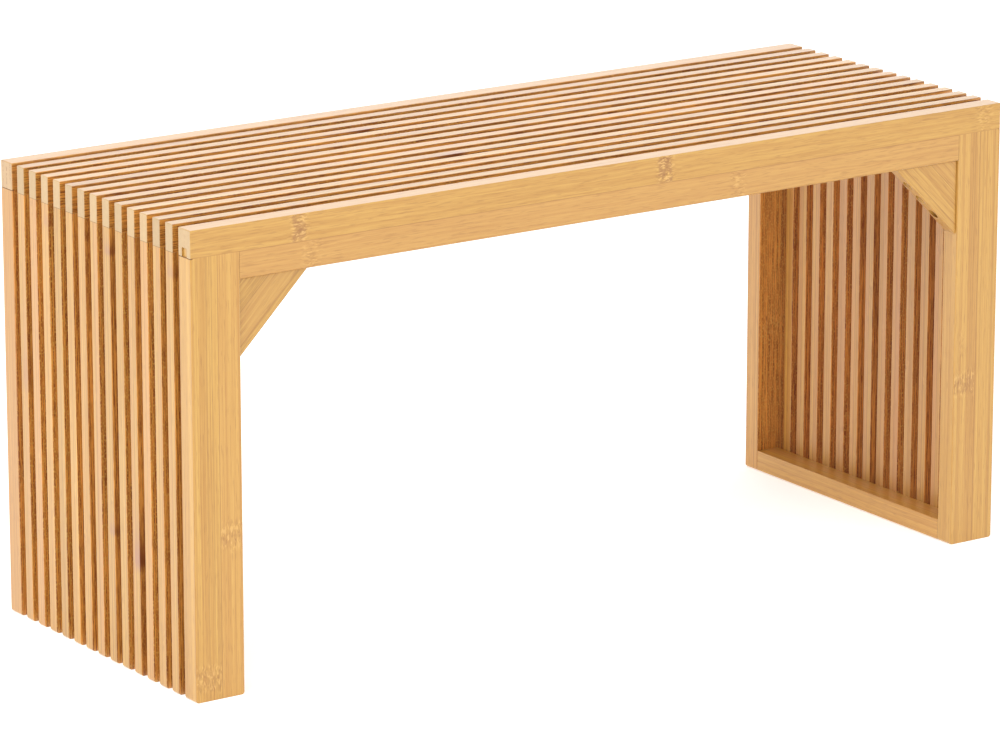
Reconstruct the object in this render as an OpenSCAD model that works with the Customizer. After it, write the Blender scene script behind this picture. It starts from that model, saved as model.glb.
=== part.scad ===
// A slatted entryway bench. A front and a rear frame, each a rail on two legs, stand either side
// of thirteen slat hoops. A hoop is one top slat resting on a leg slat at each end. Battens join
// the leg slats of each side panel, bearers join the top slats, and four triangular braces lock
// the legs to the rails.
// Origin: centre of the footprint, on the floor. +X is the bench's right, +Y its back, +Z up.

/* [Overall size] */
// Length of the bench, left to right
length = 900; // [700:10:1200]
// Depth of the bench, front to back
depth = 330; // [310:5:400]
// Height of the seat above the floor
height = 430; // [400:5:500]

/* [Frames] */
// Width of a leg, which is also the height of a rail
frame_w = 50; // [46:1:60]
// Thickness of a leg and of a rail, front to back
frame_t = 20; // [18:1:24]
// Thickness and height of the tongue on top of a leg
tongue = 8; // [6:1:9]
// How far a tongue stops short of the end of its rail
tongue_setback = 1.5; // [1:0.5:10]
// Radius of the rounded corners under each foot
foot_r = 3; // [1:0.5:5]

/* [Slats] */
// Number of slat hoops between the frames
slat_count = 13; // [7:1:13]
// Thickness of a slat, front to back
slat_t = 12; // [10:1:14]
// Width of a slat: how high a top slat is, and how deep a leg slat is
slat_w = 25; // [22:1:25]

/* [Battens and bearers] */
// Height of a batten and of a bearer
batten_h = 20; // [16:1:20]
// Clearance between a foot batten and the floor
batten_lift = 1; // [0.5:0.5:4]
// Width of a bearer, left to right
bearer_w = 30; // [24:1:50]
// Number of bearers under the seat
bearer_count = 3; // [2:1:3]
// Distance from a leg to the middle of the nearest bearer
bearer_inset = 140; // [110:5:180]

/* [Corner braces] */
// Length of a brace along the rail, and down the leg
brace_size = 72; // [66:1:90]
// Thickness of a brace, front to back
brace_t = 15; // [12:1:16]
// Diameter of the access holes in a brace's sloped edge
access_d = 9; // [8:0.5:10]
// Wood left under a screw head at the end of an access hole
seat_depth = 8; // [6:1:10]

/* [Fasteners] */
// Diameter of a screw's shank
screw_d = 4; // [3.5:0.5:4]
// Diameter of a screw's head
screw_head_d = 7.5; // [7:0.5:7.5]
// Length of the screws that hold the top slats
slat_screw_len = 35; // [30:1:37]
// Length of the screws that hold the braces
brace_screw_len = 30; // [24:1:32]
// Diameter of a dowel
dowel_d = 6; // [5:0.5:6]
// Length of a dowel
dowel_len = 22; // [18:1:22]

/* [Hidden] */
$fn = 32;
bamboo = [0.90, 0.70, 0.43];
beech = [0.85, 0.74, 0.58];
steel = [0.72, 0.72, 0.74];

// Sides of the bench: which way a mirrored sub-part lies from the middle
LEFT = -1;
RIGHT = 1;
FRONT = -1;
REAR = 1;
SIDES = [-1, 1];

// The rail and the top slats share one lap height over the legs
lap_h = slat_w;
leg_h = height - lap_h;
half_l = length / 2;
leg_inner_x = half_l - frame_w;
rail_bottom = height - frame_w;
frame_y = (depth - frame_t) / 2;

// Spacing of the slats between the frames
inner_d = depth - 2 * frame_t;
slat_gap = (inner_d - slat_count * slat_t) / (slat_count + 1);
function slat_y(i) = -inner_d / 2 + i * slat_gap + (i - 0.5) * slat_t;

// Battens fill the step between the leg slats and the inner edges of the legs
batten_w = frame_w - slat_w;
batten_x = leg_inner_x + batten_w / 2;
foot_batten_z = batten_lift + batten_h / 2;
head_batten_z = leg_h - batten_h / 2;
BATTEN_Z = [foot_batten_z, head_batten_z];

// The battens' end dowels and screws keep to a line clear of the dowels into the leg slats
fixing_x = leg_inner_x + 0.3 * batten_w;
HEAD_SCREW_SLATS = [for (i = [2:5:slat_count]) i];

// Places of the bearers, spread between the two outer ones
bearer_x_max = leg_inner_x - bearer_inset;
function bearer_x(k) = -bearer_x_max + (k - 1) * 2 * bearer_x_max / (bearer_count - 1);

// Access holes in a brace, as shares of the way down its slope from the rail
RAIL_HOLES = [0.27, 0.48];
leg_hole = 0.70;

// Running gaps around glued and screwed joints, and the overshoot of a cut
joint_gap = 0.2;
glue_room = 1;
eps = 0.01;
head_cone_h = 2.5;
tip_h = 5;
recess_w = 1;
recess_depth = 1.2;

function two_digits(i) = i < 10 ? str("0", i) : str(i);
function slat_names(place) = [for (i = [1:slat_count]) str(place, "_slat_", two_digits(i))];
function bearer_names() = [for (k = [1:bearer_count]) str("seat_bearer_", k)];

// ---- Shared shapes ----

// A box centred on X and Y, standing on its base
module block(size) {
    translate([-size.x / 2, -size.y / 2, 0])
        cube(size);
}

// Cuts an outline drawn in X and Z to a thickness in Y, centred on Y = 0
module slab(thickness) {
    rotate([90, 0, 0])
        linear_extrude(thickness, center = true)
            children();
}

// An upright strip centred on X, with its two bottom corners rounded
module footed_outline(w, h) {
    flat_w = w - 2 * foot_r;
    translate([-w / 2, foot_r])
        square([w, h - foot_r]);
    translate([-flat_w / 2, 0])
        square([flat_w, h]);
    for (side = SIDES)
        translate([side * flat_w / 2, foot_r])
            circle(foot_r);
}

// A round hole or rod centred on the origin and lying along X
module rod_x(d, len) {
    rotate([0, 90, 0])
        cylinder(h = len, d = d, center = true);
}

// The same, lying along Y
module rod_y(d, len) {
    rotate([90, 0, 0])
        cylinder(h = len, d = d, center = true);
}

// ---- Fasteners ----

module cross_recess() {
    arm = screw_head_d * 0.55;
    translate([0, 0, -eps]) {
        block([arm, recess_w, recess_depth]);
        block([recess_w, arm, recess_depth]);
    }
}

module shank(from, len) {
    translate([0, 0, from])
        cylinder(h = len - from - tip_h, d = screw_d);
    translate([0, 0, len - tip_h])
        cylinder(h = tip_h, d1 = screw_d, d2 = 1);
}

// A countersunk screw that starts at Z = 0 and points up
module flat_head_screw(len) {
    difference() {
        cylinder(h = head_cone_h, d1 = screw_head_d, d2 = screw_d);
        cross_recess();
    }
    shank(head_cone_h, len);
}

// A pan head screw whose head ends at Z = 0 and whose shank points up
module pan_head_screw(len) {
    translate([0, 0, -head_cone_h])
        difference() {
            cylinder(h = head_cone_h, d = screw_head_d);
            cross_recess();
        }
    shank(0, len);
}

module flat_head_hole(len) {
    translate([0, 0, -eps])
        cylinder(h = head_cone_h + eps, d1 = screw_head_d + joint_gap, d2 = screw_d + joint_gap);
    cylinder(h = len + glue_room, d = screw_d + joint_gap);
}

// Holes for the dowels that lie along X between a side's battens and its leg slat
module slat_dowel_holes(side, i) {
    for (z = BATTEN_Z)
        translate([side * (half_l - slat_w), slat_y(i), z])
            rod_x(dowel_d + joint_gap, dowel_len + glue_room);
}

// Holes for the dowel that lies along Y where a batten or bearer meets a frame
module end_dowel_hole(x, side_y, z) {
    translate([x, side_y * inner_d / 2, z])
        rod_y(dowel_d + joint_gap, dowel_len + glue_room);
}

// ---- Places ----

// Puts a brace's own frame, with X towards the middle of the bench, in the corner under a rail
module in_corner(side_x, side_y) {
    translate([side_x * leg_inner_x, side_y * frame_y, rail_bottom])
        scale_x(side_x)
            children();
}

module scale_x(side_x) {
    if (side_x == LEFT)
        children();
    else
        mirror([1, 0, 0])
            children();
}

// The brace's rail screws, in the brace's own frame: each starts at its seat and points up
module at_rail_screws() {
    for (share = RAIL_HOLES)
        translate([brace_size * (1 - share), 0, -seat_depth])
            children();
}

// The brace's leg screw, in the brace's own frame: it starts at its seat and points at the leg
module at_leg_screw() {
    translate([seat_depth, 0, -brace_size * leg_hole])
        rotate([0, -90, 0])
            children();
}

module at_brace_screws() {
    at_rail_screws()
        children();
    at_leg_screw()
        children();
}

module at_bearer_screws(k) {
    for (i = [1:slat_count])
        translate([bearer_x(k), slat_y(i), leg_h - batten_h])
            children();
}

module at_head_screws(side) {
    for (i = HEAD_SCREW_SLATS)
        translate([side * fixing_x, slat_y(i), leg_h - batten_h])
            children();
}

// ---- Frames ----

module rail_outline() {
    polygon([
        [-half_l, leg_h],
        [-leg_inner_x, leg_h],
        [-leg_inner_x, rail_bottom],
        [leg_inner_x, rail_bottom],
        [leg_inner_x, leg_h],
        [half_l, leg_h],
        [half_l, height],
        [-half_l, height],
    ]);
}

// The grooves run out at the ends of the front rail, and stop with the tongues in the rear rail
module groove(side_x, side_y) {
    stop = side_y == REAR ? tongue_setback - joint_gap : -eps;
    from = leg_inner_x - eps;
    len = half_l - stop - from;
    size = tongue + joint_gap;
    translate([side_x * (from + len / 2), side_y * frame_y, leg_h - eps])
        block([len, size, size]);
}

module rail(side_y) {
    color(bamboo)
        difference() {
            translate([0, side_y * frame_y, 0])
                slab(frame_t)
                    rail_outline();
            for (side = SIDES)
                groove(side, side_y);
            for (k = [1:bearer_count])
                end_dowel_hole(bearer_x(k), side_y, head_batten_z);
            for (side = SIDES)
                in_corner(side, side_y)
                    at_rail_screws()
                        cylinder(h = brace_screw_len + glue_room, d = screw_d + joint_gap);
        }
}

module leg(side_x, side_y) {
    color(bamboo)
        difference() {
            translate([side_x * (half_l - frame_w / 2), side_y * frame_y, 0]) {
                slab(frame_t)
                    footed_outline(frame_w, leg_h);
                translate([-side_x * tongue_setback / 2, 0, leg_h - eps])
                    block([frame_w - tongue_setback, tongue, tongue + eps]);
            }
            for (z = BATTEN_Z)
                end_dowel_hole(side_x * fixing_x, side_y, z);
            in_corner(side_x, side_y)
                at_leg_screw()
                    cylinder(h = brace_screw_len + glue_room, d = screw_d + joint_gap);
        }
}

// ---- Slats ----

module top_slat(i) {
    color(bamboo)
        difference() {
            translate([0, slat_y(i), leg_h])
                block([length, slat_t, slat_w]);
            for (k = [1:bearer_count])
                translate([bearer_x(k), slat_y(i), leg_h - batten_h])
                    flat_head_hole(slat_screw_len);
            if (len(search(i, HEAD_SCREW_SLATS)) > 0)
                for (side = SIDES)
                    translate([side * fixing_x, slat_y(i), leg_h - batten_h])
                        flat_head_hole(slat_screw_len);
        }
}

module leg_slat(side, i) {
    color(bamboo)
        difference() {
            translate([side * (half_l - slat_w / 2), slat_y(i), 0])
                slab(slat_t)
                    footed_outline(slat_w, leg_h);
            slat_dowel_holes(side, i);
        }
}

// ---- Battens and bearers ----

// A batten is dowelled to the leg slats along its outer face, and to a leg at each end
module batten(side, z) {
    color(bamboo)
        difference() {
            translate([side * batten_x, 0, z - batten_h / 2])
                block([batten_w, inner_d, batten_h]);
            for (i = [1:slat_count])
                slat_dowel_holes(side, i);
            for (side_y = SIDES)
                end_dowel_hole(side * fixing_x, side_y, z);
        }
}

module foot_batten(side) {
    batten(side, foot_batten_z);
}

module head_batten(side) {
    difference() {
        batten(side, head_batten_z);
        at_head_screws(side)
            flat_head_hole(slat_screw_len);
    }
}

module seat_bearer(k) {
    color(bamboo)
        difference() {
            translate([bearer_x(k), 0, leg_h - batten_h])
                block([bearer_w, inner_d, batten_h]);
            at_bearer_screws(k)
                flat_head_hole(slat_screw_len);
            for (side_y = SIDES)
                end_dowel_hole(bearer_x(k), side_y, head_batten_z);
        }
}

// ---- Corner braces ----

// An access hole runs from a screw's seat out through the sloped edge
module access_hole() {
    translate([0, 0, -brace_size])
        cylinder(h = brace_size, d = access_d);
    cylinder(h = seat_depth + eps, d = screw_d + joint_gap);
}

module brace(side_x, side_y) {
    color(bamboo)
        in_corner(side_x, side_y)
            difference() {
                slab(brace_t)
                    polygon([[0, 0], [brace_size, 0], [0, -brace_size]]);
                at_brace_screws()
                    access_hole();
            }
}

// ---- Groups of fasteners ----

module brace_screws() {
    color(steel)
        for (side_x = SIDES, side_y = SIDES)
            in_corner(side_x, side_y)
                at_brace_screws()
                    pan_head_screw(brace_screw_len);
}

module bearer_screws() {
    color(steel)
        for (k = [1:bearer_count])
            at_bearer_screws(k)
                flat_head_screw(slat_screw_len);
}

module head_screws() {
    color(steel)
        for (side = SIDES)
            at_head_screws(side)
                flat_head_screw(slat_screw_len);
}

module dowels() {
    color(beech) {
        for (side = SIDES, i = [1:slat_count], z = BATTEN_Z)
            translate([side * (half_l - slat_w), slat_y(i), z])
                rod_x(dowel_d, dowel_len);
        for (side = SIDES, side_y = SIDES, z = BATTEN_Z)
            translate([side * fixing_x, side_y * inner_d / 2, z])
                rod_y(dowel_d, dowel_len);
        for (k = [1:bearer_count], side_y = SIDES)
            translate([bearer_x(k), side_y * inner_d / 2, head_batten_z])
                rod_y(dowel_d, dowel_len);
    }
}

// ---- Assembly ----

rail(FRONT);  // front_rail
rail(REAR);  // rear_rail
leg(LEFT, FRONT);  // front_left_leg
leg(RIGHT, FRONT);  // front_right_leg
leg(LEFT, REAR);  // rear_left_leg
leg(RIGHT, REAR);  // rear_right_leg
for (i = [1:slat_count]) {
    top_slat(i);
    leg_slat(LEFT, i);
    leg_slat(RIGHT, i);
}
foot_batten(LEFT);  // left_foot_batten
foot_batten(RIGHT);  // right_foot_batten
head_batten(LEFT);  // left_head_batten
head_batten(RIGHT);  // right_head_batten
for (k = [1:bearer_count])
    seat_bearer(k);
brace(LEFT, FRONT);  // front_left_brace
brace(RIGHT, FRONT);  // front_right_brace
brace(LEFT, REAR);  // rear_left_brace
brace(RIGHT, REAR);  // rear_right_brace
brace_screws();
bearer_screws();
head_screws();
dowels();
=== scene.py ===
import math
import random

import bmesh
import bpy
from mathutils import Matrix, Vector


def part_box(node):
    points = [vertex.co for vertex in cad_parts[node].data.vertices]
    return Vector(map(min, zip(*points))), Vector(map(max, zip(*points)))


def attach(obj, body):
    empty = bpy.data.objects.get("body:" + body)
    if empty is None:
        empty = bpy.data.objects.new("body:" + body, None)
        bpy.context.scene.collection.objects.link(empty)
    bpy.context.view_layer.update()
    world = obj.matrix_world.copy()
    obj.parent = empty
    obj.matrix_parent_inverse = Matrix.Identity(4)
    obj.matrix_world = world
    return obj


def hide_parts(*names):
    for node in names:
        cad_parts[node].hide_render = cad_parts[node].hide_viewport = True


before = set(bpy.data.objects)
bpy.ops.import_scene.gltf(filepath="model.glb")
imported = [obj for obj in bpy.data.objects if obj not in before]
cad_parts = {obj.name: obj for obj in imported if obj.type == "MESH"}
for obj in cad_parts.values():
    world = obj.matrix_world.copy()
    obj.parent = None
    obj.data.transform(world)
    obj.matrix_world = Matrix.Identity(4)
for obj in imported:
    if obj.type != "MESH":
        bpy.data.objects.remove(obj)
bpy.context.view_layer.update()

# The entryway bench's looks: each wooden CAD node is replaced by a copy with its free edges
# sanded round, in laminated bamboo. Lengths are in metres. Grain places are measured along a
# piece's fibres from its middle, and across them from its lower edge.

X, Y, Z = Vector((1, 0, 0)), Vector((0, 1, 0)), Vector((0, 0, 1))

# ---- Measures, from the frame ----

lap_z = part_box("left_slat_01")[1].z
tongue_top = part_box("front_left_leg")[1].z
rail_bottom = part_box("front_rail")[0].z
leg_inner_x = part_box("front_right_leg")[0].x
half_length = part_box("front_rail")[1].x
half_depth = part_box("rear_rail")[1].y

TOL = 0.0001
JOINT_GAP = 0.0003
FRAME_EASE = 0.0008
LEG_SEAM_EASE = 0.0007
FINE_SEAM_EASE = 0.0003
SHORTEST_EASED_EDGE = 0.002
FOOT_TOP = 0.004
SHARP_ANGLE = math.radians(40)
FLAT_ANGLE = math.radians(1)

SLAT_NUMBERS = range(1, sum(name.startswith("top_slat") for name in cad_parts) + 1)
BEARERS = sorted(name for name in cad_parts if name.startswith("seat_bearer"))
SCREWS = ["brace_screws", "bearer_screws", "head_screws"]


# ---- Node trees ----

class Tree:
    """Adds nodes to a node tree. Each method returns an output socket."""

    def __init__(self, tree):
        self.tree = tree

    def add(self, kind, inputs=(), **settings):
        node = self.tree.nodes.new(kind)
        for name, value in settings.items():
            setattr(node, name, value)
        for key, value in dict(inputs).items():
            self.feed(node.inputs[key], value)
        return node

    def feed(self, socket, value):
        if isinstance(value, bpy.types.NodeSocket):
            self.tree.links.new(value, socket)
        else:
            socket.default_value = value

    def math(self, operation, a, b=0.0):
        return self.add("ShaderNodeMath", {0: a, 1: b}, operation=operation).outputs[0]

    def ramp(self, value, low, high, to_low=0.0, to_high=1.0):
        """A smooth step from to_low at low to to_high at high."""
        inputs = {"Value": value, "From Min": low, "From Max": high}
        inputs.update({"To Min": to_low, "To Max": to_high})
        return self.add("ShaderNodeMapRange", inputs, interpolation_type="SMOOTHSTEP").outputs[0]

    def mix(self, share, a, b):
        """Colour a, with that share of colour b."""
        node = self.add("ShaderNodeMix", data_type="RGBA")
        self.feed(node.inputs[0], share)
        self.feed(node.inputs[6], a)
        self.feed(node.inputs[7], b)
        return node.outputs[2]

    def vector(self, x, y, z):
        return self.add("ShaderNodeCombineXYZ", {0: x, 1: y, 2: z}).outputs[0]

    def split(self, vector):
        return self.add("ShaderNodeSeparateXYZ", {0: vector}).outputs

    def stretched_noise(self, u, v, w, along, across, detail=2.0):
        """Noise with that many cells a metre along the fibres, and across them."""
        parts = [self.math("MULTIPLY", u, along)]
        parts += [self.math("MULTIPLY", part, across) for part in (v, w)]
        inputs = {"Vector": self.vector(*parts), "Scale": 1.0, "Detail": detail}
        return self.add("ShaderNodeTexNoise", inputs).outputs["Fac"]


def new_group(name, inputs, outputs):
    """A shader node group, its Tree, its input sockets by name and its output node."""
    group = bpy.data.node_groups.new(name, "ShaderNodeTree")
    for direction, sockets in (("INPUT", inputs), ("OUTPUT", outputs)):
        for socket_name, kind in sockets:
            group.interface.new_socket(socket_name, in_out=direction, socket_type=kind)
    tree = Tree(group)
    source = tree.add("NodeGroupInput")
    sink = tree.add("NodeGroupOutput")
    return group, tree, source.outputs, sink.inputs


VECTOR, FLOAT, COLOR = "NodeSocketVector", "NodeSocketFloat", "NodeSocketColor"


# ---- Bamboo ----

# Linear colours of the wood: on its faces, on the flat sides of its plies, and on its ends. The flat
# sides' colours are deeper partly as painted shade, standing in for the shade in the gaps between slats.
BAMBOO_LIGHT = (0.605, 0.350, 0.075, 1)
BAMBOO_DEEP = (0.430, 0.200, 0.034, 1)
STRIP_PINK = (0.530, 0.262, 0.082, 1)
FLAT_SHADE_LIGHT = (0.720, 0.310, 0.056, 1)
FLAT_SHADE_DEEP = (0.230, 0.066, 0.009, 1)
END_LIGHT = (0.520, 0.345, 0.150, 1)
END_DEEP = (0.440, 0.275, 0.110, 1)
LINE_BROWN = (0.26, 0.100, 0.018, 1)
MARK_BROWN = (0.36, 0.165, 0.040, 1)
MARK_BRIGHT = (0.74, 0.450, 0.140, 1)
STAIN_DARK = (0.160, 0.032, 0.005, 1)
STAIN_PALE = (0.38, 0.175, 0.095, 1)

# A share of a turn that never repeats, so that neighbouring strips differ
GOLDEN = 0.618

# Thickness of a ply of a rail, and how wide the ply of a slat is that a stain can be in
PLY = 0.0064
STAINED_PLY = 0.009

# How far the fibres swerve at a node and beside a stain, and how far Ruddy turns the hue towards red as
# painted shade
NODE_SWERVE = 0.012
STAIN_SWERVE = 0.010
RUDDY_SHADE_TURN = 0.010


def make_mark_group():
    """How strongly a bamboo node shows, within Reach of Place, and from Low to High across."""
    inputs = [("Grain", VECTOR), ("Place", FLOAT), ("Low", FLOAT), ("High", FLOAT)]
    inputs += [("Strength", FLOAT), ("Reach", FLOAT)]
    group, tree, source, sink = new_group("bamboo_node", inputs, [("Mark", FLOAT)])
    u, v, w = tree.split(source["Grain"])
    wave = tree.stretched_noise(u, v, w, 20, 260)
    bent = tree.math("ADD", u, tree.math("MULTIPLY", tree.math("SUBTRACT", wave, 0.5), NODE_SWERVE))
    away = tree.math("ABSOLUTE", tree.math("SUBTRACT", bent, source["Place"]))
    band = tree.ramp(away, tree.math("MULTIPLY", source["Reach"], 0.3), source["Reach"], 1.0, 0.0)
    above = tree.ramp(tree.math("SUBTRACT", v, source["Low"]), -0.0002, 0.0008)
    below = tree.ramp(tree.math("SUBTRACT", source["High"], v), -0.0002, 0.0008)
    inside = tree.math("MULTIPLY", above, below)
    mark = tree.math("MULTIPLY", tree.math("MULTIPLY", band, inside), source["Strength"])
    tree.feed(sink["Mark"], mark)
    return group


def make_stain_group():
    """How dark a stain is: it starts sharply at Place and fades out over Tail, up to High."""
    inputs = [("Grain", VECTOR), ("Place", FLOAT), ("Tail", FLOAT), ("High", FLOAT)]
    inputs.append(("Strength", FLOAT))
    group, tree, source, sink = new_group("stain", inputs, [("Stain", FLOAT)])
    u, v, w = tree.split(source["Grain"])
    wave = tree.stretched_noise(u, v, w, 20, 300)
    bent = tree.math("ADD", u, tree.math("MULTIPLY", tree.math("SUBTRACT", wave, 0.5), STAIN_SWERVE))
    run = tree.math("DIVIDE", tree.math("SUBTRACT", bent, source["Place"]), source["Tail"])
    core = tree.math("MULTIPLY", tree.ramp(run, -0.10, 0.10), tree.ramp(run, 0.10, 0.50, 1.0, 0.4))
    along = tree.math("MULTIPLY", core, tree.ramp(run, 0.3, 1.0, 1.0, 0.0))
    below = tree.ramp(tree.math("SUBTRACT", source["High"], v), -0.0005, 0.0015)
    stain = tree.math("MULTIPLY", tree.math("MULTIPLY", along, below), source["Strength"])
    tree.feed(sink["Stain"], stain)
    return group


def make_bamboo_group():
    """Colour, roughness and height of laminated bamboo at a place in the grain.

    Strip is the width of a strip, Shift moves the strips, Width and Reach are the piece's own
    width and half its length. Blush is how much strips differ, Run how short the streaks are,
    Figure how strong they are, Ruddy how far the hue turns red as painted shade of a piece
    in shadow, Waver how far fibres wander, Lines how clear regular lines are and Knots how many
    swerves a metre of a node has. Flat is how much the flat sides of plies take their own fibres
    and a deeper colour that is partly painted shade, Front how much the front face takes
    that colour as painted shade, and Plies how clear ply lines are on the ends.
    """
    inputs = [("Grain", VECTOR), ("Mark", FLOAT), ("Stain", FLOAT), ("Seed", FLOAT), ("Tone", FLOAT)]
    inputs += [(name, FLOAT) for name in ("Strip", "Shift", "Width", "Reach")]
    inputs += [(name, FLOAT) for name in ("Blush", "Run", "Figure", "Ruddy", "Waver", "Lines")]
    inputs += [(name, FLOAT) for name in ("Knots", "Flat", "Front", "Plies")]
    outputs = [("Color", COLOR), ("Roughness", FLOAT), ("Height", FLOAT)]
    group, tree, source, sink = new_group("bamboo", inputs, outputs)
    u, v, w = tree.split(source["Grain"])
    mark = source["Mark"]

    # Where the place is: on which strip, how near a glue line, on a flat side or on an end
    across = tree.math("DIVIDE", tree.math("ADD", v, source["Shift"]), source["Strip"])
    number = tree.math("FLOOR", across)
    turn = tree.math("ADD", tree.math("MULTIPLY", number, GOLDEN), source["Seed"])
    strip_tone = tree.math("FRACT", turn)
    offset = tree.math("ABSOLUTE", tree.math("SUBTRACT", tree.math("FRACT", across), 0.5))
    from_line = tree.math("MULTIPLY", tree.math("SUBTRACT", 0.5, offset), source["Strip"])
    from_side = tree.math("MINIMUM", v, tree.math("SUBTRACT", source["Width"], v))
    inner = tree.ramp(from_side, 0.001, 0.002)
    glue = tree.math("MULTIPLY", tree.ramp(from_line, 0.0001, 0.0006, 1, 0), inner)
    flat = tree.math("MULTIPLY", tree.ramp(from_side, 0.0001, 0.0006, 1, 0), source["Flat"])
    # Front paints the flat sides' deeper colour onto the front face, as painted shade of a piece in
    # shadow
    front = tree.math("MULTIPLY", tree.ramp(w, 0.0001, 0.0006, 1, 0), source["Front"])
    flat = tree.math("MAXIMUM", flat, front)
    from_end = tree.math("SUBTRACT", source["Reach"], tree.math("ABSOLUTE", u))
    end = tree.ramp(from_end, 0.0001, 0.0005, 1, 0)

    # Fibres wander slowly, and swerve at a node
    seeded = tree.math("ADD", u, tree.math("MULTIPLY", source["Seed"], 13.7))
    own = tree.math("ADD", seeded, tree.math("MULTIPLY", number, 3.1))
    drift = tree.math("SUBTRACT", tree.stretched_noise(own, v, w, 10, 35, 3.0), 0.5)
    swerve = tree.math("SUBTRACT", tree.stretched_noise(own, v, w, 90, 170, 2.0), 0.5)
    bend = tree.math("MULTIPLY", tree.math("MULTIPLY", swerve, mark), 0.010)
    bend = tree.math("ADD", bend, tree.math("MULTIPLY", drift, source["Waver"]))
    v_bent, w_bent = tree.math("ADD", v, bend), tree.math("ADD", w, bend)

    run = tree.math("MULTIPLY", own, source["Run"])
    bands = tree.stretched_noise(run, v_bent, w_bent, 1.0, 300, 1.0)
    streaks = tree.stretched_noise(run, v_bent, w_bent, 7, 700, 3.0)
    dashes = tree.stretched_noise(own, v_bent, w_bent, 60, 900, 1.0)
    pores = tree.stretched_noise(own, v_bent, w_bent, 420, 950, 0.0)

    banded = tree.ramp(bands, 0.36, 0.64, -0.5, 0.5)
    depth = tree.math("ADD", banded, tree.ramp(streaks, 0.34, 0.66, -0.5, 0.5))
    depth = tree.math("MULTIPLY", tree.math("MULTIPLY", depth, 0.5), source["Figure"])
    depth = tree.math("ADD", depth, 0.5)
    color = tree.mix(depth, BAMBOO_LIGHT, BAMBOO_DEEP)
    blush = tree.math("MULTIPLY", tree.ramp(strip_tone, 0.2, 0.8), source["Blush"])
    color = tree.mix(blush, color, STRIP_PINK)

    # Regular fine lines in some bands of the wood, and short dark dashes all over it
    zones = tree.ramp(tree.stretched_noise(seeded, v, w, 0.4, 50, 0.0), 0.42, 0.58)
    lines = tree.ramp(tree.stretched_noise(own, v_bent, w_bent, 0.7, 560, 0.0), 0.45, 0.62)
    lines = tree.math("MULTIPLY", tree.math("MULTIPLY", lines, zones), source["Lines"])
    color = tree.mix(tree.math("MULTIPLY", lines, 0.36), color, LINE_BROWN)
    color = tree.mix(tree.ramp(dashes, 0.56, 0.70, 0.0, 0.30), color, LINE_BROWN)
    color = tree.mix(tree.math("MULTIPLY", glue, 0.50), color, LINE_BROWN)

    # The flat side of a ply has clear dark fibres and pale pores, in a deeper colour that is partly
    # painted shade of the gaps between slats; Front gives that painted shade to a front face too
    short = tree.ramp(dashes, 0.44, 0.58, 0, 0.4)
    fibres = tree.math("ADD", tree.ramp(streaks, 0.42, 0.58, 0, 0.6), short)
    flat_grain_and_shade = tree.mix(fibres, FLAT_SHADE_LIGHT, FLAT_SHADE_DEEP)
    pores_shown = tree.ramp(strip_tone, 0, 1, 0.25, 0.8)
    pale_pores = tree.math("MULTIPLY", tree.ramp(pores, 0.54, 0.66), pores_shown)
    flat_grain_and_shade = tree.mix(pale_pores, flat_grain_and_shade, BAMBOO_LIGHT)
    color = tree.mix(flat, color, flat_grain_and_shade)

    # A node is a patch of short swerving fibres, pale and dark, and brown where it is strong
    knots = tree.stretched_noise(own, v_bent, w_bent, source["Knots"], 620, 1.0)
    dark = tree.math("MULTIPLY", tree.ramp(knots, 0.53, 0.68), mark)
    bright = tree.math("MULTIPLY", tree.ramp(knots, 0.34, 0.46, 1.0, 0.0), mark)
    patch = tree.ramp(tree.stretched_noise(own, v, w, 110, 120, 1.0), 0.30, 0.52)
    brown = tree.math("MULTIPLY", tree.ramp(mark, 0.60, 0.90), patch)
    color = tree.mix(tree.math("MULTIPLY", brown, 0.75), color, MARK_BROWN)
    color = tree.mix(tree.math("MULTIPLY", dark, 0.60), color, LINE_BROWN)
    color = tree.mix(tree.math("MULTIPLY", bright, 0.60), color, MARK_BRIGHT)

    # A stain is dark on the flat side of its ply, and a pale shade on the other faces
    shade = tree.mix(flat, STAIN_PALE, STAIN_DARK)
    depth_of_stain = tree.math("MULTIPLY", source["Stain"], tree.ramp(flat, 0.0, 1.0, 0.85, 0.90))
    color = tree.mix(depth_of_stain, color, shade)

    # An end is smooth and yellow, with ply lines a fixed way apart
    blotches = tree.stretched_noise(seeded, v, w, 1, 260, 2.0)
    ply = tree.math("FRACT", tree.math("DIVIDE", tree.math("ADD", w, 0.0001), PLY))
    ply = tree.ramp(tree.math("ABSOLUTE", tree.math("SUBTRACT", ply, 0.5)), 0.03, 0.11, 1.0, 0.0)
    ply = tree.math("MULTIPLY", ply, tree.ramp(tree.stretched_noise(u, v, w, 1, 500, 1.0), 0.40, 0.60))
    end_color = tree.mix(blotches, END_LIGHT, END_DEEP)
    end_color = tree.mix(tree.math("MULTIPLY", ply, source["Plies"]), end_color, LINE_BROWN)
    color = tree.mix(end, color, end_color)

    # Ruddy turns the hue towards red: painted shade, the reddish light in the shadow a piece stands in
    hue = tree.math("SUBTRACT", 0.5, tree.math("MULTIPLY", source["Ruddy"], RUDDY_SHADE_TURN))
    inputs = {"Hue": hue, "Value": source["Tone"], "Color": color}
    toned = tree.add("ShaderNodeHueSaturation", inputs)
    tree.feed(sink["Color"], toned.outputs["Color"])
    tree.feed(sink["Roughness"], tree.ramp(streaks, 0.2, 0.8, 0.36, 0.50))
    height = tree.math("SUBTRACT", streaks, tree.math("MULTIPLY", dashes, 0.6))
    height = tree.math("SUBTRACT", height, tree.math("MULTIPLY", glue, 0.7))
    tree.feed(sink["Height"], tree.math("SUBTRACT", height, tree.math("MULTIPLY", dark, 0.8)))
    return group


mark_group = make_mark_group()
stain_group = make_stain_group()
bamboo_group = make_bamboo_group()


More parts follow.
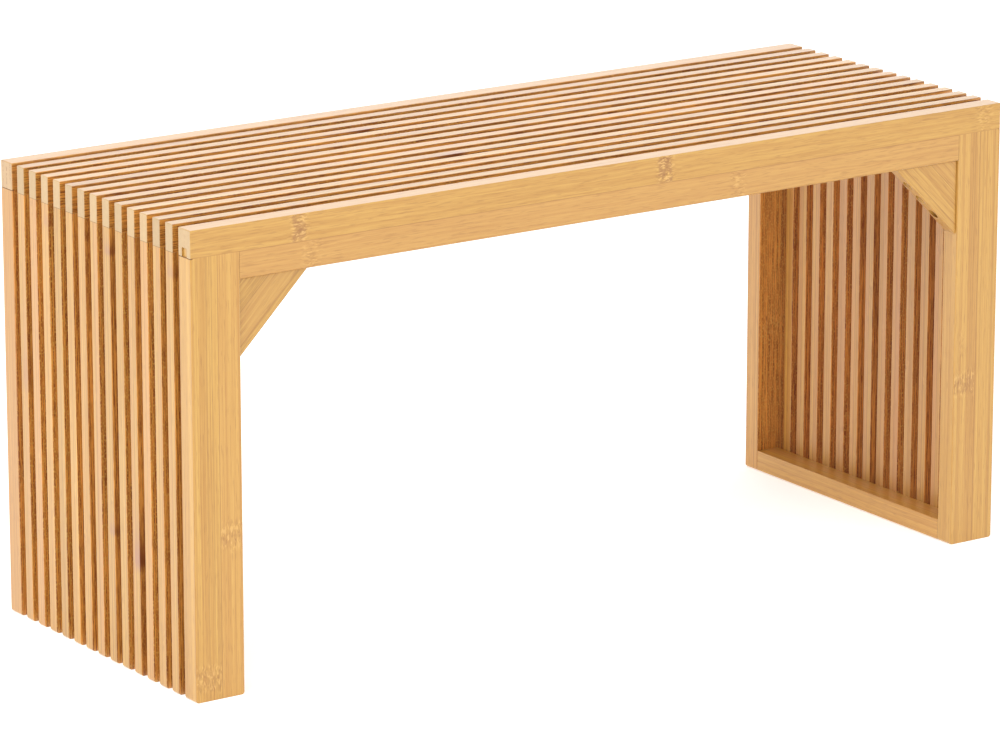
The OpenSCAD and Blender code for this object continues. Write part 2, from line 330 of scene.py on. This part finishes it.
def strongest(tree, group, grain, names, places):
    """The greatest output of a group over a list of places, whose values have those names."""
    greatest = 0.0
    for values in places:
        node = tree.add("ShaderNodeGroup", node_tree=group)
        tree.feed(node.inputs["Grain"], grain)
        for name, value in zip(names, values):
            tree.feed(node.inputs[name], value)
        greatest = tree.math("MAXIMUM", node.outputs[0], greatest)
    return greatest


def bamboo(name, settings, marks, mark_reach, stains):
    """Bamboo for one piece, with its nodes and its stains."""
    material = bpy.data.materials.new("bamboo_" + name)
    material.use_nodes = True
    tree = Tree(material.node_tree)
    shader = material.node_tree.nodes["Principled BSDF"]
    grain = tree.add("ShaderNodeAttribute", attribute_name="grain").outputs["Vector"]
    wood = tree.add("ShaderNodeGroup", node_tree=bamboo_group)
    tree.feed(wood.inputs["Grain"], grain)
    for key, value in settings.items():
        tree.feed(wood.inputs[key], value)
    marks = [(*values, mark_reach) for values in marks]
    mark = strongest(tree, mark_group, grain, ("Place", "Low", "High", "Strength", "Reach"), marks)
    stains = [(*values, STAINED_PLY) for values in stains]
    stain = strongest(tree, stain_group, grain, ("Place", "Tail", "Strength", "High"), stains)
    tree.feed(wood.inputs["Mark"], mark)
    tree.feed(wood.inputs["Stain"], stain)
    bump = tree.add("ShaderNodeBump", {"Strength": 0.35, "Distance": 0.0002})
    tree.feed(bump.inputs["Height"], wood.outputs["Height"])
    tree.feed(shader.inputs["Base Color"], wood.outputs["Color"])
    tree.feed(shader.inputs["Roughness"], wood.outputs["Roughness"])
    tree.feed(shader.inputs["Normal"], bump.outputs["Normal"])
    shader.inputs["IOR"].default_value = 1.35
    shader.inputs["Coat Weight"].default_value = 1.0
    shader.inputs["Coat IOR"].default_value = 1.4
    shader.inputs["Coat Roughness"].default_value = 0.3
    return material


# How far a strip's first node is from its end, and the next one from the last
FIRST_NODE = (0.02, 0.30)
NODE_STEP = (0.26, 0.42)


def random_marks(chance, reach, strip, width, strengths):
    """Bamboo nodes at uneven places, with each strip's own ones."""
    marks = []
    low = 0.0
    while low < width - TOL:
        place = -reach + chance.uniform(*FIRST_NODE)
        while place < reach:
            marks.append((place, low, low + strip, chance.uniform(*strengths)))
            place += chance.uniform(*NODE_STEP)
        low += strip
    return marks


# ---- Pieces ----

def is_sharp(edge):
    """Whether two faces meet at an edge, at a clear angle."""
    return edge.is_manifold and edge.calc_face_angle() > SHARP_ANGLE


def beside_rail(middle):
    """Whether a place is where a leg meets the lower half of a rail."""
    return abs(abs(middle.x) - leg_inner_x) < TOL and rail_bottom < middle.z < lap_z


def is_free(edge):
    """Whether an edge is sharp, isn't the rim of a hole, and isn't flush in a glued joint."""
    if not is_sharp(edge):
        return False
    a, b = (vert.co for vert in edge.verts)
    middle = (a + b) / 2
    is_rim = edge.calc_length() < SHORTEST_EASED_EDGE and max(a.z, b.z) > FOOT_TOP
    in_lap = lap_z - TOL < middle.z < tongue_top + JOINT_GAP
    return not is_rim and not in_lap and not beside_rail(middle)


def is_lap_seam(edge):
    """Whether an edge of a leg or a leg slat shows as a line where it meets what lies on it."""
    a, b = (vert.co for vert in edge.verts)
    on_top = min(a.z, b.z) > lap_z - TOL and max(a.z, b.z) < lap_z + TOL
    at_end = min(abs(a.x), abs(b.x)) > half_length - FRAME_EASE - TOL
    return is_sharp(edge) and on_top and at_end


def is_side_seam(edge):
    """Whether an edge of a leg shows as a line on the outside, beside the rail."""
    a, b = (vert.co for vert in edge.verts)
    outside = min(abs(a.y), abs(b.y)) > half_depth - TOL
    return is_sharp(edge) and outside and beside_rail((a + b) / 2)


def soften(shape, edges, ease, segments, slot):
    """Rounds edges. The new faces take the material in that slot."""
    rounded = bmesh.ops.bevel(
        shape, geom=edges, offset=ease, offset_type="OFFSET", segments=segments, profile=0.5,
        affect="EDGES", clamp_overlap=False,
    )
    for face in rounded["faces"]:
        face.smooth = True
        face.material_index = slot


def eased_piece(node, ease):
    """A copy of a CAD node with its free edges rounded, which stands for the node."""
    is_leg = "_leg" in node
    shape = bmesh.new()
    shape.from_mesh(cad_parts[node].data)
    bmesh.ops.remove_doubles(shape, verts=shape.verts, dist=1e-6)
    bmesh.ops.dissolve_limit(shape, angle_limit=FLAT_ANGLE, verts=shape.verts, edges=shape.edges)
    if is_leg:
        everything = list(shape.verts) + list(shape.edges) + list(shape.faces)
        bmesh.ops.bisect_plane(shape, geom=everything, plane_co=(0, 0, rail_bottom), plane_no=Z)
    for face in shape.faces:
        face.smooth = False
    soften(shape, [edge for edge in shape.edges if is_free(edge)], ease, 3, 0)
    if is_leg or node.startswith(("left_slat", "right_slat")):
        lap_ease = LEG_SEAM_EASE if is_leg else FINE_SEAM_EASE
        soften(shape, [edge for edge in shape.edges if is_lap_seam(edge)], lap_ease, 1, 1)
        soften(shape, [edge for edge in shape.edges if is_side_seam(edge)], FINE_SEAM_EASE, 1, 1)
    mesh = bpy.data.meshes.new(node)
    shape.to_mesh(mesh)
    shape.free()
    piece = bpy.data.objects.new(node + "_wood", mesh)
    bpy.context.scene.collection.objects.link(piece)
    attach(piece, "root")
    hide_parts(node)
    return piece


def set_grain(piece, along, across, through):
    """Gives each point its place in the grain. Returns half the length and the width."""
    points = [vert.co for vert in piece.data.vertices]
    spans = []
    for axis in (along, across, through):
        reaches = [axis.dot(point) for point in points]
        spans.append((min(reaches), max(reaches)))
    middle = sum(spans[0]) / 2
    starts = (middle, spans[1][0], spans[2][0])
    grain = piece.data.attributes.new("grain", "FLOAT_VECTOR", "POINT")
    axes = (along, across, through)
    for place, point in zip(grain.data, points):
        place.vector = [axis.dot(point) - start for axis, start in zip(axes, starts)]
    return (spans[0][1] - spans[0][0]) / 2, spans[1][1] - spans[1][0]


def mottled(name, light, dark, metallic, roughness, scale):
    """A plain solid material with a fine mottle in its colour, roughness and height."""
    material = bpy.data.materials.new(name)
    material.use_nodes = True
    tree = Tree(material.node_tree)
    shader = material.node_tree.nodes["Principled BSDF"]
    place = tree.add("ShaderNodeTexCoord").outputs["Object"]
    inputs = {"Vector": place, "Scale": scale, "Detail": 4.0}
    mottle = tree.add("ShaderNodeTexNoise", inputs).outputs["Fac"]
    bump = tree.add("ShaderNodeBump", {"Strength": 0.2, "Distance": 0.0001, "Height": mottle})
    tree.feed(shader.inputs["Base Color"], tree.mix(mottle, light, dark))
    tree.feed(shader.inputs["Roughness"], tree.ramp(mottle, 0.2, 0.8, *roughness))
    tree.feed(shader.inputs["Normal"], bump.outputs["Normal"])
    shader.inputs["Metallic"].default_value = metallic
    return material


# Painted shade with a glue line: a dark brown on the faces of a joint's fine groove, partly the glue
# line and partly the shade in the groove
seam_shade_material = mottled("seam", (0.23, 0.100, 0.030, 1), (0.14, 0.058, 0.018, 1), 0.0, (0.6, 0.8), 900)

# The kinds of piece: how far edges are eased, the settings of their bamboo, the ranges of their
# tones and their blush, and how strong their nodes are and how far they reach
KINDS = {
    "rail": {
        "ease": FRAME_EASE, "tones": (0.97, 0.99), "blushes": (0.35, 0.35),
        "nodes": (0.25, 0.70), "reach": 0.014,
        "wood": {
            "Strip": 0.025, "Run": 4.0, "Figure": 0.55, "Waver": 0.004, "Lines": 0.15,
            "Knots": 150, "Flat": 0.0, "Front": 0.0, "Plies": 0.25,
        },
    },
    "leg": {
        "ease": FRAME_EASE, "tones": (0.98, 1.01), "blushes": (0.15, 0.15),
        "nodes": (0.25, 0.70), "reach": 0.019,
        "wood": {
            "Strip": 0.025, "Run": 1.0, "Figure": 0.8, "Waver": 0.001, "Lines": 0.75,
            "Knots": 140, "Flat": 0.0, "Front": 0.0, "Plies": 0.25,
        },
    },
    "slat": {
        "ease": 0.0005, "tones": (0.89, 1.03), "blushes": (0.0, 1.0),
        "nodes": (0.10, 0.55), "reach": 0.012,
        "wood": {
            "Strip": 0.006, "Run": 1.0, "Figure": 1.0, "Waver": 0.001, "Lines": 0.30,
            "Knots": 130, "Flat": 1.0, "Front": 0.0, "Plies": 0.0,
        },
    },
    "batten": {
        "ease": 0.0005, "tones": (0.95, 1.03), "blushes": (0.5, 0.5),
        "nodes": (0.10, 0.55), "reach": 0.012,
        "wood": {
            "Strip": 0.010, "Run": 1.5, "Figure": 0.8, "Waver": 0.002, "Lines": 0.30,
            "Knots": 130, "Flat": 0.0, "Front": 0.0, "Plies": 0.0,
        },
    },
    "brace": {
        "ease": 0.0009, "tones": (0.93, 0.96), "blushes": (0.2, 0.2),
        "nodes": (0.10, 0.30), "reach": 0.010,
        "wood": {
            "Strip": 0.022, "Run": 2.0, "Figure": 0.8, "Waver": 0.003, "Lines": 0.60,
            "Knots": 130, "Flat": 0.0, "Front": 0.0, "Plies": 0.0,
        },
    },
}

LYING = (X, Z, Y)
STANDING = (Z, X, Y)
CROSSWISE = (Y, X, Z)
LYING_SLAT = (X, Y, Z)
STANDING_SLAT = (Z, Y, X)


def make_wood(node, kind, axes, marks=None, stains=(), **settings):
    """An eased bamboo piece, with nodes at random if none are given."""
    chance = random.Random(node)
    kind = KINDS[kind]
    piece = eased_piece(node, kind["ease"])
    reach, width = set_grain(piece, *axes)
    wood = {"Seed": chance.uniform(0, 50), "Tone": chance.uniform(*kind["tones"])}
    wood.update({"Blush": chance.uniform(*kind["blushes"]), "Shift": 0.0, "Ruddy": 0.0})
    wood.update({**kind["wood"], "Reach": reach, "Width": width, **settings})
    if marks is None:
        marks = random_marks(chance, reach, wood["Strip"], width, kind["nodes"])
    piece.data.materials.append(bamboo(node, wood, marks, kind["reach"], stains))
    if any(face.material_index for face in piece.data.polygons):
        piece.data.materials.append(seam_shade_material)


# The nodes that show on the front frame: place, low, high and strength
FRONT_RAIL_MARKS = [
    (-0.338, 0.025, 0.050, 0.90),
    (0.057, 0.025, 0.050, 1.00),
    (0.430, 0.025, 0.050, 0.55),
    (-0.325, 0.000, 0.025, 0.55),
    (0.140, 0.000, 0.025, 0.60),
]
FRONT_LEFT_LEG_MARKS = [
    (-0.186, 0.000, 0.027, 0.70),
    (-0.057, 0.027, 0.050, 0.70),
]
FRONT_RIGHT_LEG_MARKS = [
    (-0.047, 0.000, 0.025, 0.75),
    (-0.007, 0.005, 0.012, 0.50),
]

# The stains in the front ply of a few slats: place, length and side of the tail, strength
SLAT_STAINS = {
    "top_slat_01": [(-0.328, 0.030, 0.5)],
    "top_slat_03": [(0.008, -0.030, 0.5)],
    "top_slat_05": [(-0.086, -0.080, 1.0)],
    "top_slat_08": [(0.026, -0.030, 0.4)],
    "top_slat_11": [(-0.102, -0.060, 1.0)],
    "left_slat_01": [(0.180, 0.025, 0.5)],
    "left_slat_04": [(-0.102, 0.070, 1.0)],
    "left_slat_06": [(-0.082, 0.030, 0.7), (0.178, 0.024, 0.7)],
    "left_slat_11": [(0.182, 0.025, 0.5)],
    "left_slat_13": [(0.020, 0.090, 0.5)],
}


def make_frames():
    make_wood("front_rail", "rail", LYING, FRONT_RAIL_MARKS, Seed=0.70)
    # The rear rail and rear legs stand in shadow inside the bench: Front and Ruddy, and the rear right
    # leg's Tone, paint their shaded look into their colour
    make_wood("rear_rail", "rail", LYING, Strip=0.050, Seed=0.70, Front=0.6, Plies=0.9, Ruddy=0.5)
    make_wood("front_left_leg", "leg", STANDING, FRONT_LEFT_LEG_MARKS, Strip=0.027, Seed=0.10)
    make_wood("front_right_leg", "leg", STANDING, FRONT_RIGHT_LEG_MARKS, Strip=0.026)
    make_wood("rear_left_leg", "leg", STANDING, Strip=0.050, Seed=0.60, Front=0.9, Ruddy=0.5)
    make_wood("rear_right_leg", "leg", STANDING, Strip=0.050, Seed=0.70, Front=0.8, Ruddy=0.4, Tone=1.10)


def make_slats():
    # The right panel's slats face into the shade under the seat: their Ruddy turns them redder as
    # painted shade
    for place, axes, ruddy_shade in (
        ("top", LYING_SLAT, 0.0),
        ("left", STANDING_SLAT, 0.0),
        ("right", STANDING_SLAT, 0.6),
    ):
        for number in SLAT_NUMBERS:
            node = f"{place}_slat_{number:02d}"
            make_wood(node, "slat", axes, stains=SLAT_STAINS.get(node, ()), Ruddy=ruddy_shade)


def make_battens():
    for side in ("left", "right"):
        # The foot battens stand in the shade of the seat: their Ruddy and Tone paint that shade's
        # redder, lighter look into their colour
        make_wood(side + "_foot_batten", "batten", CROSSWISE, Ruddy=0.3, Tone=1.05)
        make_wood(side + "_head_batten", "batten", CROSSWISE)
    for node in BEARERS:
        make_wood(node, "batten", CROSSWISE)


def make_braces():
    """The grain of a brace runs along its slope, which falls away from the middle."""
    for place in ("front", "rear"):
        for side, way, tone in (("left", 1, 0.91), ("right", -1, 0.97)):
            along = Vector((way, 0, 1)).normalized()
            across = Vector((way, 0, -1)).normalized()
            make_wood(f"{place}_{side}_brace", "brace", (along, across, Y), [], Tone=tone)


# ---- Screws and dowels ----

def dress_hardware():
    steel = mottled("zinc_steel", (0.66, 0.66, 0.68, 1), (0.42, 0.42, 0.44, 1), 1.0, (0.28, 0.45), 900)
    beech = mottled("beech", (0.74, 0.52, 0.31, 1), (0.55, 0.34, 0.17, 1), 0.0, (0.55, 0.7), 500)
    for node in SCREWS:
        dress(node, steel)
    dress("dowels", beech)


def dress(node, material):
    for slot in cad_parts[node].material_slots:
        slot.link = "OBJECT"
        slot.material = material


# ---- Floor, light and camera ----

FLOOR_SIZE = 60
SOFTBOX_SIZE = 2.6
LAMP_AIM = Vector((0, 0, 0.25))

# The lamps: place and power in watts
SOFTBOXES = {
    "key": ((-2.2, -0.6, 3.2), 76),
    "front": ((1.2, -4.0, 1.8), 20),
    "rear": ((2.9, 4.3, 1.9), 14),
}

CAMERA_PLACE = (-2.937, -4.274, 1.615)
CAMERA_LENS = 206
CAMERA_TILT = math.radians(15.318)
CAMERA_TURN = math.radians(34.379)


def make_floor():
    bpy.ops.mesh.primitive_plane_add(size=FLOOR_SIZE)
    floor = bpy.context.object
    floor.name = "floor"
    material = bpy.data.materials.new("floor")
    material.use_nodes = True
    tree = Tree(material.node_tree)
    shader = material.node_tree.nodes["Principled BSDF"]
    place = tree.add("ShaderNodeTexCoord").outputs["Object"]
    cloud = tree.add("ShaderNodeTexNoise", {"Vector": place, "Scale": 0.6}).outputs["Fac"]
    pale = tree.mix(cloud, (0.90, 0.90, 0.90, 1), (0.93, 0.93, 0.93, 1))
    tree.feed(shader.inputs["Base Color"], pale)
    shader.inputs["Roughness"].default_value = 0.9
    shader.inputs["Specular IOR Level"].default_value = 0.1
    shader.inputs["Emission Color"].default_value = (1, 1, 1, 1)
    shader.inputs["Emission Strength"].default_value = 0.4
    floor.data.materials.append(material)


def make_softbox(name, place, watts):
    """A square lamp that faces the bench."""
    lamp = bpy.data.lights.new(name, "AREA")
    lamp.size = SOFTBOX_SIZE
    lamp.energy = watts
    holder = bpy.data.objects.new(name, lamp)
    bpy.context.scene.collection.objects.link(holder)
    holder.location = place
    aim = LAMP_AIM - Vector(place)
    holder.rotation_euler = aim.to_track_quat("-Z", "Y").to_euler()


def make_light():
    world = bpy.data.worlds.new("studio")
    world.use_nodes = True
    sky = world.node_tree.nodes["Background"]
    sky.inputs["Color"].default_value = (1, 1, 1, 1)
    sky.inputs["Strength"].default_value = 1.0
    bpy.context.scene.world = world
    for name, (place, watts) in SOFTBOXES.items():
        make_softbox(name, place, watts)
    bpy.context.scene.view_settings.view_transform = "Standard"


def make_camera():
    """A long lens, turned right of straight ahead and tilted down a little."""
    camera = bpy.data.cameras.new("camera")
    camera.sensor_width = 36
    camera.lens = CAMERA_LENS
    camera.clip_end = 100
    holder = bpy.data.objects.new("camera", camera)
    bpy.context.scene.collection.objects.link(holder)
    holder.location = CAMERA_PLACE
    holder.rotation_euler = (math.pi / 2 - CAMERA_TILT, 0, -CAMERA_TURN)
    bpy.context.scene.camera = holder


make_frames()
make_slats()
make_battens()
make_braces()
dress_hardware()
make_floor()
make_light()
make_camera()

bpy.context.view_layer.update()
